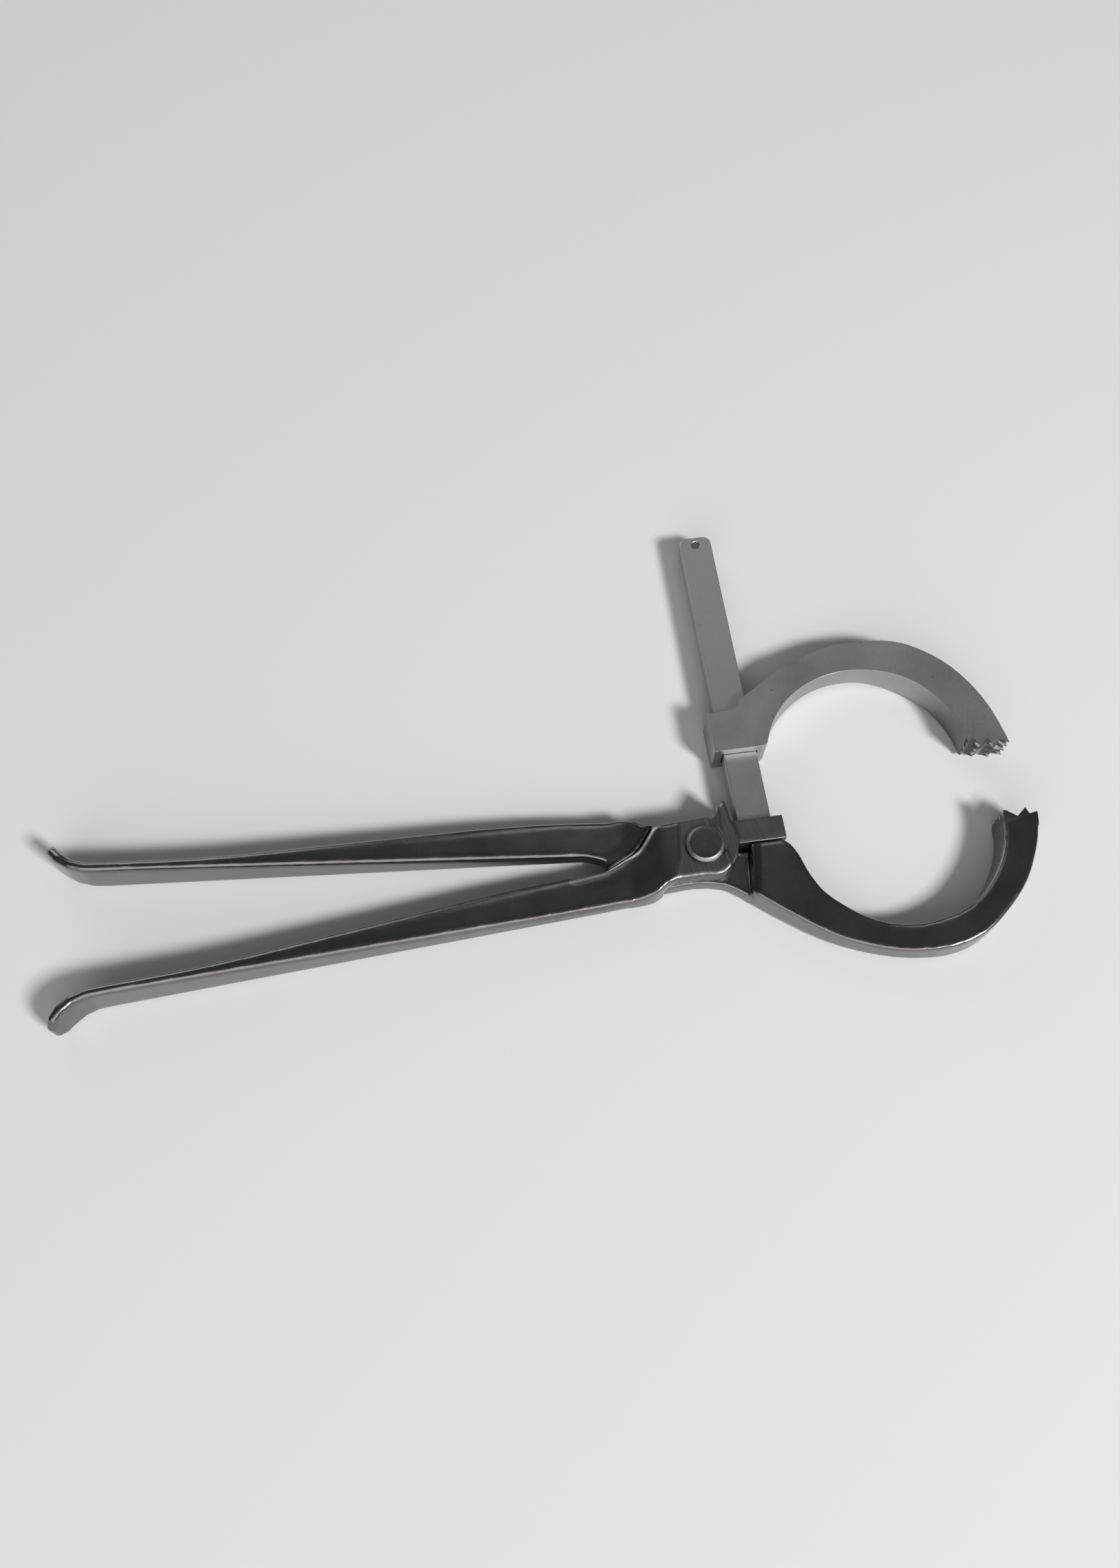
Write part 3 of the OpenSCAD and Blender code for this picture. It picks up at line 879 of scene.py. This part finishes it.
@dataclass
class JawLever(ForgedLever):
    """The lever that passes under the pivot and carries the fixed jaw with its filed teeth."""

    tooth_cut: float = 12.4
    tooth_root: float = 16.3
    tooth_lap: float = 0.6
    tooth_margin: float = 1.0
    jaw_from: float = 80.0
    rim_run: float = 16.0
    rim_merge: float = 0.1 * MM
    rim_sharp: float = 50.0
    level: float = 0.1
    tooth_round: float = 0.9 * MM
    tooth_segments: int = 4
    dip: float = 1.0
    dip_reach: float = 7.0
    # Painted shade along the other lever's shoulder and in the slot: reaches in millimetres, the slot's path
    # and the shares.
    shade_reach: tuple = (1.8, 3.2)
    slot_reach: tuple = (0.9, 2.2)
    slot_path: tuple = ((19.6, 0.5), (19.6, -16.5))
    slot_shade: float = 0.8
    shoulder_shade: float = 0.9
    zones: tuple = (Zone((-236, 200), 6), Zone((-50, -12), 3), Zone((-232, -70), 4))
    webs: tuple = (Web(((-56, -2.0), (-56, -4.6), (-49, -4.4), (-44, -4.8), (-40, -5.5), (-36.8, -6.3),
                        (-33.4, -7.7), (-31, -6.0), (-33, -2.0)), 3.9, 11.9),)

    def takes_bevel(self, place: Vector) -> bool:
        """The teeth stay out of it."""
        is_tooth = place.x > self.jaw_from and place.y > self.tooth_cut - self.tooth_margin
        return super().takes_bevel(place) and not is_tooth

    def lift(self, points: np.ndarray) -> np.ndarray:
        """Lowers the top face where it meets the other lever's shoulder."""
        gap = np.abs(path_offset(points, SHOULDER))
        return -self.dip * (1.0 - eased(gap, 0.0, self.dip_reach)) * (points[:, 0] < 0.0)

    def painted_shade_share(self, points: np.ndarray) -> np.ndarray:
        """Paints shade in the gap along the other lever's shoulder, and in the slot by the jaw.

        Args:
            points: The lever's points in millimetres.

        Returns:
            How much painted shade each point gets, from 0 to 1.
        """
        gap = np.abs(path_offset(points, SHOULDER))
        along_shoulder = (1.0 - eased(gap, *self.shade_reach)) * (points[:, 0] < 0.0)
        in_slot = 1.0 - eased(np.abs(path_offset(points, self.slot_path)), *self.slot_reach)
        return np.maximum(along_shoulder * self.shoulder_shade, in_slot * self.slot_shade)

    def finished(self, bm: bmesh.types.BMesh) -> bmesh.types.BMesh:
        """Swaps the skin's blunt teeth for the solid's crisp ones.

        Args:
            bm: The lever's skin.

        Returns:
            The skin with its teeth.
        """
        jaw = [f for f in bm.faces if min(v.co.x for v in f.verts) > self.jaw_from * MM]
        Workshop.half(bm, jaw, (self.tooth_cut - self.tooth_lap) * MM, False)
        Workshop.append(bm, self.tip())
        bmesh.ops.bridge_loops(bm, edges=[e for e in bm.edges if e.is_boundary])
        bmesh.ops.recalc_face_normals(bm, faces=bm.faces)
        return bm

    def tip(self) -> bmesh.types.BMesh:
        """Makes the jaw's tip with its teeth from the solid.

        Returns:
            The tip, open where it joins the skin, with a rim as fine as the skin's.
        """
        tip = Workshop.copy_of(self.node)
        bmesh.ops.remove_doubles(tip, verts=tip.verts, dist=self.rim_merge)
        rims = [e for e in Workshop.sharp_edges(tip, self.rim_sharp) if self.runs_to_teeth(e)]
        Workshop.rounded(tip, rims, self.tooth_round, self.tooth_segments)
        Workshop.half(tip, tip.faces[:], self.tooth_cut * MM, True)
        bmesh.ops.delete(tip, geom=[v for v in tip.verts if v.co.x < self.jaw_from * MM], context="VERTS")
        for rim in [e for e in tip.edges if e.is_boundary]:
            cuts = int(rim.calc_length() / self.voxel)
            if cuts:
                bmesh.ops.subdivide_edges(tip, edges=[rim], cuts=cuts)
        return tip

    def runs_to_teeth(self, edge: bmesh.types.BMEdge) -> bool:
        """Says whether an edge is one of the jaw's four long edges just before its teeth.

        Args:
            edge: The edge.

        Returns:
            Whether it is.
        """
        first, last = (v.co / MM for v in edge.verts)
        along = abs(first.y - last.y) > abs(first.x - last.x) and abs(first.z - last.z) < self.level
        start = self.tooth_cut - self.rim_run
        return along and all(start < p.y < self.tooth_root and p.x > self.jaw_from for p in (first, last))


@dataclass
class BarLever(ForgedLever):
    """The lever on top, with its round nose, its ear and the block that holds the bar."""

    lean: float = math.radians(9.7)
    block_low: tuple = (11.6, -0.8, 1.15)
    block_high: tuple = (31.1, 8.4, 14.35)
    block_edge: float = 0.25 * MM
    crest: tuple = ((6.9, 18.6), (4.6, 15.2), (5.0, 7.8), (8.64, -5.7), (10.6, -11.5))
    crest_rise: float = 0.75
    crest_ramp: float = 1.3
    crest_fall: float = 0.22
    head_clear: tuple = (7.4, 8.3)
    step_x: float = -9.0
    step_ramp: tuple = (-1.6, 0.4)
    step_rise: float = 0.3
    step_fades: tuple = (-40.0, -22.0)
    ground_curve: float = 0.012
    ground_blur: float = 1.5
    shoulder_passes: int = 14
    # Painted highlight along the shoulder's edge: its reach in millimetres, and the x up to which it runs.
    shoulder_highlight_reach: tuple = (1.6, 2.8)
    highlight_to: float = -14.0
    zones: tuple = (Zone((-224, 200), 6), Zone((-50, -12), 3), Zone((-220, -70), 4),
                    Zone((-26, 16), 12, y=(-25, -7), z=(8.8, 30)))
    webs: tuple = (Web(((-66, -19.6), (-61.6, -17.3), (-55.3, -15.4), (-49, -13.4), (-42.7, -11.5),
                        (-36.4, -9.7), (-32.6, -7.1), (-29.3, -4.7), (-26.2, -2.7), (-24, -1.2), (-22, -6.0),
                        (-34, -15.0), (-62, -22.0)), 8.2, 12.0),
                   Web(((-66, -19.6), (-61.6, -17.3), (-55.3, -15.4), (-49, -13.4), (-44.0, -12.4),
                        (-39.5, -13.2), (-40, -17.0), (-62, -22.0)), 4.0, 9.0))

    def lift(self, points: np.ndarray) -> np.ndarray:
        """Raises the ridge beside the ear, and the handle beyond the boss's ground face.

        Args:
            points: The lever's points in millimetres.

        Returns:
            How far each point rises, in millimetres.
        """
        side = path_offset(points, self.crest)
        clear = eased(np.hypot(points[:, 0], points[:, 1]), *self.head_clear)
        left = eased(-side, -self.crest_ramp, 0.0) * (side > 0)
        right = np.clip(1.0 + side * self.crest_fall / self.crest_rise, 0.0, 1.0) * (side <= 0)
        ridge = self.crest_rise * (left + right) * clear
        ramp_start, ramp_end = (self.step_x + part for part in self.step_ramp)
        handle = self.step_rise * (1.0 - eased(points[:, 0], ramp_start, ramp_end))
        return ridge + handle * eased(points[:, 0], *self.step_fades)

    def ground_share(self, points: np.ndarray) -> np.ndarray:
        """The boss's face, the ridge and the block were ground."""
        along = points[:, 0] + self.ground_curve * points[:, 1] ** 2
        return eased(along, self.step_x - self.ground_blur, self.step_x + self.ground_blur)

    def painted_highlight_share(self, points: np.ndarray) -> np.ndarray:
        """Paints a highlight along the shoulder's edge, stored with the edge wear."""
        gap = np.abs(path_offset(points, SHOULDER))
        return (1.0 - eased(gap, *self.shoulder_highlight_reach)) * (points[:, 0] < self.highlight_to)

    def finished(self, bm: bmesh.types.BMesh) -> bmesh.types.BMesh:
        """Adds the crisp block.

        Args:
            bm: The lever's skin.

        Returns:
            The skin with the block.
        """
        block = bmesh.new()
        bmesh.ops.create_cube(block, size=1.0)
        low, high = Vector(self.block_low) * MM, Vector(self.block_high) * MM
        bmesh.ops.scale(block, verts=block.verts, vec=high - low)
        bmesh.ops.translate(block, verts=block.verts, vec=0.5 * (low + high))
        bmesh.ops.rotate(block, verts=block.verts, matrix=Matrix.Rotation(self.lean, 3, "Z"))
        Workshop.rounded(block, block.edges[:], self.block_edge, EDGE_SEGMENTS)
        return Workshop.united(bm, block)


@dataclass
class MachinedPart(Piece):
    """A piece with flat ground faces and small rounded edges."""

    edge: float = 0.5 * MM
    rim_angle: float = 25.0
    crease_angle: float = 32.0
    edge_wear: float = 0.9

    def shape(self) -> bpy.types.Object:
        """Makes the piece with its edges rounded.

        Returns:
            The piece.
        """
        bm = Workshop.copy_of(self.node)
        rims = [e for e in Workshop.sharp_edges(bm, self.rim_angle) if not self.left_sharp(e)]
        wear = bm.faces.layers.float.new("edge")
        for face in Workshop.rounded(bm, rims, self.edge, EDGE_SEGMENTS):
            face[wear] = self.edge_wear
        painted_shade = bm.faces.layers.float.new("painted_shade")
        for face in bm.faces:
            face[painted_shade] = self.painted_shade_of(face)
        self.file_edges(bm, wear, painted_shade)
        made = Workshop.to_object(bm, self.node + "_visual")
        Workshop.smooth_shaded(made, self.crease_angle)
        Workshop.even_shading(made)
        return made

    def left_sharp(self, edge: bmesh.types.BMEdge) -> bool:
        """Says whether an edge stays sharp."""
        return False

    def painted_shade_of(self, face: bmesh.types.BMFace) -> float:
        """Gives how much painted shade a face gets, from 0 to 1."""
        return 0.0

    def file_edges(self, bm: bmesh.types.BMesh, wear: object, painted_shade: object) -> None:
        """Brightens the edges that a file has touched, where the piece has such edges."""


@dataclass
class SlidingJaw(MachinedPart):
    """The jaw that slides on the bar. Its filed teeth stay sharp and get painted shade."""

    teeth_from: float = 90.0
    teeth_top: float = 49.3
    # Painted shade on the teeth.
    tooth_shade: float = 0.72
    tooth_edge: float = 0.1 * MM
    tooth_angle: float = 35.0
    middle: Vector = field(default_factory=lambda: Vector((70, 45, 0)))
    upright: float = 0.5
    # Painted shade on the inner wall, growing towards the teeth.
    wall_shade: float = 0.5
    wall_from: tuple = (82.0, 104.0)

    def left_sharp(self, edge: bmesh.types.BMEdge) -> bool:
        """The teeth keep their filed edges."""
        return all(self.is_tooth(v.co) for v in edge.verts)

    def is_tooth(self, place: Vector) -> bool:
        """Says whether a point lies among the teeth."""
        return place.x > self.teeth_from * MM and place.y < self.teeth_top * MM

    def painted_shade_of(self, face: bmesh.types.BMFace) -> float:
        """Paints shade on the teeth, and on the jaw's inner wall, darker towards the teeth.

        Args:
            face: The face.

        Returns:
            How much painted shade it gets, from 0 to 1.
        """
        if all(self.is_tooth(v.co) for v in face.verts):
            return self.tooth_shade
        centre = face.calc_center_median() / MM
        inner = (centre - self.middle).xy.dot(face.normal.xy) < 0.0 and abs(face.normal.z) < self.upright
        return self.wall_shade * float(eased(np.float64(centre.x), *self.wall_from)) if inner else 0.0

    def file_edges(self, bm: bmesh.types.BMesh, wear: object, painted_shade: object) -> None:
        """Bevels the teeth's crests and marks them bright.

        Some crests have almost no length. The clamped bevel takes its width from them, so its faces
        have none either. No point moves, but the teeth's shading varies a little from run to run.

        Args:
            bm: The jaw's mesh.
            wear: The layer that holds the wear.
            painted_shade: The layer that holds the painted shade.
        """
        crests = [e for e in Workshop.sharp_edges(bm, self.tooth_angle)
                  if e.is_convex and all(self.is_tooth(v.co) for v in e.verts)]
        for face in Workshop.rounded(bm, crests, self.tooth_edge, 1):
            face[wear] = 1.0
            face[painted_shade] = 0.0


@dataclass
class PivotRivet(Piece):
    """The pivot's rivet: a flat head with a rough turned rim, its shank and its peened tail.

    The profile gives radius and height in millimetres. Each wave has its pitch and its share.
    """

    profile: tuple = ((0.0, 17.62), (3.0, 17.62), (5.2, 17.62), (5.6, 17.61), (6.02, 17.56), (6.25, 17.4),
                      (6.95, 16.75), (7.2, 16.45), (7.25, 16.2), (7.25, 15.25), (5.0, 15.25), (5.0, 1.95),
                      (6.9, 0.35), (6.6, 0.0), (0.0, 0.0))
    turns: int = 96
    rim_from: float = 5.9
    rough_above: float = 16.0
    bright_above: float = 16.5
    roughening: float = 0.09
    waves: tuple = ((1.4, 1.0), (3.1, 0.6))
    crease_angle: float = 50.0

    def shape(self) -> bpy.types.Object:
        """Spins the rivet's profile and roughens its rim.

        Returns:
            The rivet.
        """
        bm = bmesh.new()
        line = [bm.verts.new(Vector((r, 0.0, z)) * MM) for r, z in self.profile]
        edges = [bm.edges.new(pair) for pair in zip(line[:-1], line[1:])]
        bmesh.ops.spin(bm, geom=line + edges, cent=Vector(), axis=Vector((0, 0, 1)), dvec=Vector(),
                       angle=2.0 * math.pi, steps=self.turns, use_merge=True)
        bmesh.ops.remove_doubles(bm, verts=bm.verts, dist=SAME_POINT)
        bmesh.ops.recalc_face_normals(bm, faces=bm.faces)
        for vert in bm.verts:
            if self.on_rim(vert.co, self.rough_above):
                wave = sum(share * noise.noise(vert.co / MM * pitch) for pitch, share in self.waves)
                vert.co.z += wave * self.roughening * MM
        wear = bm.faces.layers.float.new("edge")
        for face in bm.faces:
            face[wear] = float(self.on_rim(face.calc_center_median(), self.bright_above))
        made = Workshop.to_object(bm, self.node + "_visual")
        Workshop.smooth_shaded(made, self.crease_angle)
        return made

    def on_rim(self, place: Vector, above: float) -> bool:
        """Says whether a place lies on the head's rim and above a height in millimetres."""
        return math.hypot(place.x, place.y) / MM > self.rim_from and place.z > above * MM


@dataclass(frozen=True)
class Lamp:
    """One soft square light that looks at the origin. Lengths are in metres and the power in watts."""

    name: str
    place: tuple[float, float, float]
    width: float
    power: float

    def build(self) -> None:
        """Makes the light."""
        light = bpy.data.lights.new(self.name, "AREA")
        light.size = self.width
        light.energy = self.power
        place = Vector(self.place)
        stand = bpy.data.objects.new(self.name, light)
        stand.matrix_world = Matrix.Translation(place) @ place.to_track_quat("Z", "Y").to_matrix().to_4x4()
        bpy.context.scene.collection.objects.link(stand)


@dataclass
class Studio:
    """The floor, the lights and the camera. The two lengths in pixels are the photograph's."""

    focal_pixels: float = 2000.0
    height_pixels: float = 2274.0
    sensor: float = 36.0
    depression: float = math.radians(66.43)
    roll: float = math.radians(1.75)
    eye: tuple = (-0.05466, -0.18599, 0.494)
    lamps: tuple = (Lamp("key", (1.86, -1.56, 2.34), 0.66, 114.0),
                    Lamp("near_fill", (-0.5, -3.2, 1.9), 4.0, 72.0),
                    Lamp("far_fill", (-0.95, 1.3, 0.8), 1.0, 4.0),
                    Lamp("high_fill", (0.12, 0.83, 1.1), 0.45, 0.6))
    sky: tuple = (0.93, 0.96, 1.0, 1)
    sky_strength: float = 0.085
    floor_colour: tuple = (0.7, 0.695, 0.69, 1)
    floor_roughness: float = 0.9
    floor_reach: float = 4.0
    floor_drop: float = 0.2 * MM

    def build(self) -> None:
        """Makes the floor, the lights and the camera."""
        self.floor()
        for lamp in self.lamps:
            lamp.build()
        world = bpy.data.worlds.new("studio")
        world.use_nodes = True
        background = world.node_tree.nodes["Background"]
        background.inputs["Color"].default_value = self.sky
        background.inputs["Strength"].default_value = self.sky_strength
        bpy.context.scene.world = world
        bpy.context.scene.view_settings.view_transform = "Standard"
        self.camera()

    def floor(self) -> None:
        """Makes the pale floor, just below the piece."""
        bm = bmesh.new()
        bmesh.ops.create_grid(bm, x_segments=2, y_segments=2, size=self.floor_reach)
        bmesh.ops.translate(bm, verts=bm.verts, vec=Vector((0, 0, -self.floor_drop)))
        floor = Workshop.to_object(bm, "floor")
        paint = bpy.data.materials.new("floor")
        paint.use_nodes = True
        shader = paint.node_tree.nodes["Principled BSDF"]
        shader.inputs["Base Color"].default_value = self.floor_colour
        shader.inputs["Roughness"].default_value = self.floor_roughness
        floor.data.materials.append(paint)

    def camera(self) -> None:
        """Makes the camera at the photograph's own viewing angle."""
        lens = bpy.data.cameras.new("camera")
        lens.sensor_width = self.sensor
        lens.lens = self.sensor * self.focal_pixels / self.height_pixels
        up = Vector((0, math.sin(self.depression), math.cos(self.depression)))
        ahead = Vector((0, math.cos(self.depression), -math.sin(self.depression)))
        right = Vector((1, 0, 0))
        across = math.cos(self.roll) * right + math.sin(self.roll) * up
        upright = -math.sin(self.roll) * right + math.cos(self.roll) * up
        turn = Matrix((across, upright, -ahead)).transposed().to_4x4()
        stand = bpy.data.objects.new("camera", lens)
        stand.matrix_world = Matrix.Translation(Vector(self.eye)) @ turn
        bpy.context.scene.collection.objects.link(stand)
        bpy.context.scene.camera = stand


def main() -> None:
    """Builds each piece in order, then the studio."""
    logging.basicConfig(level=logging.INFO, format="%(message)s")
    pieces = [
        JawLever("jaw_lever", Body.JAW_LEVER, Slot.FORGED, FORGED),
        BarLever("bar_lever", Body.BAR_LEVER, Slot.FORGED, FORGED),
        PivotRivet("pivot_rivet", Body.JAW_LEVER, Slot.RIVET, RIVET),
        MachinedPart("slide_bar", Body.BAR_LEVER, Slot.GROUND, BAR),
        SlidingJaw("sliding_jaw", Body.SLIDING_JAW, Slot.GROUND, GROUND),
        MachinedPart("bar_end_stop", Body.BAR_LEVER, Slot.GROUND, GROUND, edge=0.3 * MM),
        MachinedPart("stop_pin", Body.BAR_LEVER, Slot.RIVET, RIVET, edge=0.2 * MM),
    ]
    for piece in pieces:
        piece.build()
    Studio().build()


if __name__ == "__main__":
    main()
